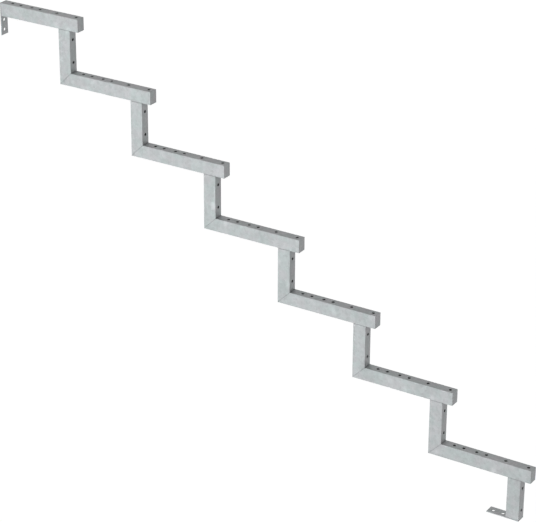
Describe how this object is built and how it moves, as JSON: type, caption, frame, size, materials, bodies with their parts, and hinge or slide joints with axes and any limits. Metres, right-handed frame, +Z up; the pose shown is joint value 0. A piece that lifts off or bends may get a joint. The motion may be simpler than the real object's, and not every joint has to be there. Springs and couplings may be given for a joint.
{
  "type": "stair stringer",
  "caption": "Zig-zag stair stringer welded from galvanised rectangular tube, drilled for tread and riser boards, with a wall plate at the head and a floor plate at the foot.",
  "frame": {"origin": "middle of the two floor bolts, on the underside of the floor plate", "axes": "+X down the stair away from the wall, +Z up, Y across the tube with the stringer's middle plane at 0"},
  "size_m": [1.7815, 0.03, 1.19],
  "materials": {
    "galvanised_tube": "hot-dip galvanised, dull, with soft cloudy spangle",
    "galvanised_plate": "hot-dip galvanised, dull, with soft cloudy spangle"
  },
  "bodies": {
    "root": {"tread_tube_1": "galvanised_tube", "tread_tube_2": "galvanised_tube", "tread_tube_3": "galvanised_tube", "tread_tube_4": "galvanised_tube", "tread_tube_5": "galvanised_tube", "tread_tube_6": "galvanised_tube", "tread_tube_7": "galvanised_tube", "riser_tube_1": "galvanised_tube", "riser_tube_2": "galvanised_tube", "riser_tube_3": "galvanised_tube", "riser_tube_4": "galvanised_tube", "riser_tube_5": "galvanised_tube", "riser_tube_6": "galvanised_tube", "riser_tube_7": "galvanised_tube", "nosing_cap_1": "galvanised_plate", "nosing_cap_2": "galvanised_plate", "nosing_cap_3": "galvanised_plate", "nosing_cap_4": "galvanised_plate", "nosing_cap_5": "galvanised_plate", "nosing_cap_6": "galvanised_plate", "nosing_cap_7": "galvanised_plate", "wall_plate": "galvanised_plate", "floor_plate": "galvanised_plate"}
  },
  "joints": []
}
